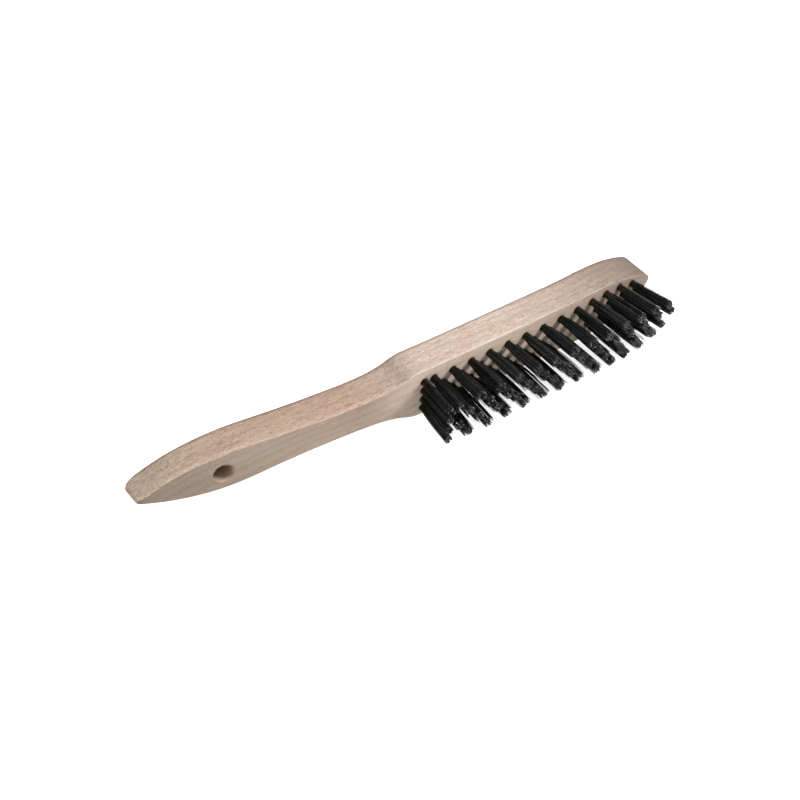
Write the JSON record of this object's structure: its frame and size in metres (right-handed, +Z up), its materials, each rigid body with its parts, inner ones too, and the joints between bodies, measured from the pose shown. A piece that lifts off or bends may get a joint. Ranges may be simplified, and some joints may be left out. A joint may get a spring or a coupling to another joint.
{
  "type": "wire brush",
  "caption": "Hand wire scratch brush: one-piece beech handle with hanging hole, curved body and staggered rows of folded steel wire tufts, lying on its side.",
  "frame": {"origin": "middle of the base of the box around the whole brush, on the side face that it lies on", "axes": "+X along the body from the handle's end to the toe, +Y from the wires to the back of the body, +Z up across the body's width"},
  "size_m": [0.2874, 0.0494, 0.0276],
  "materials": {
    "handle": "unfinished sanded beech, matt, with short dark flecks along the grain",
    "wire": "dark oil-tempered carbon steel wire, dull sheen, bright cut ends"
  },
  "bodies": {
    "root": {"handle": "handle", "tuft_r1_01": "wire", "tuft_r1_02": "wire", "tuft_r1_03": "wire", "tuft_r1_04": "wire", "tuft_r1_05": "wire", "tuft_r1_06": "wire", "tuft_r1_07": "wire", "tuft_r1_08": "wire", "tuft_r1_09": "wire", "tuft_r1_10": "wire", "tuft_r1_11": "wire", "tuft_r1_12": "wire", "tuft_r1_13": "wire", "tuft_r1_14": "wire", "tuft_r2_01": "wire", "tuft_r2_02": "wire", "tuft_r2_03": "wire", "tuft_r2_04": "wire", "tuft_r2_05": "wire", "tuft_r2_06": "wire", "tuft_r2_07": "wire", "tuft_r2_08": "wire", "tuft_r2_09": "wire", "tuft_r2_10": "wire", "tuft_r2_11": "wire", "tuft_r2_12": "wire", "tuft_r2_13": "wire", "tuft_r2_14": "wire", "tuft_r3_01": "wire", "tuft_r3_02": "wire", "tuft_r3_03": "wire", "tuft_r3_04": "wire", "tuft_r3_05": "wire", "tuft_r3_06": "wire", "tuft_r3_07": "wire", "tuft_r3_08": "wire", "tuft_r3_09": "wire", "tuft_r3_10": "wire", "tuft_r3_11": "wire", "tuft_r3_12": "wire", "tuft_r3_13": "wire", "tuft_r3_14": "wire", "tuft_r4_01": "wire", "tuft_r4_02": "wire", "tuft_r4_03": "wire", "tuft_r4_04": "wire", "tuft_r4_05": "wire", "tuft_r4_06": "wire", "tuft_r4_07": "wire", "tuft_r4_08": "wire", "tuft_r4_09": "wire", "tuft_r4_10": "wire", "tuft_r4_11": "wire", "tuft_r4_12": "wire", "tuft_r4_13": "wire"}
  },
  "joints": []
}
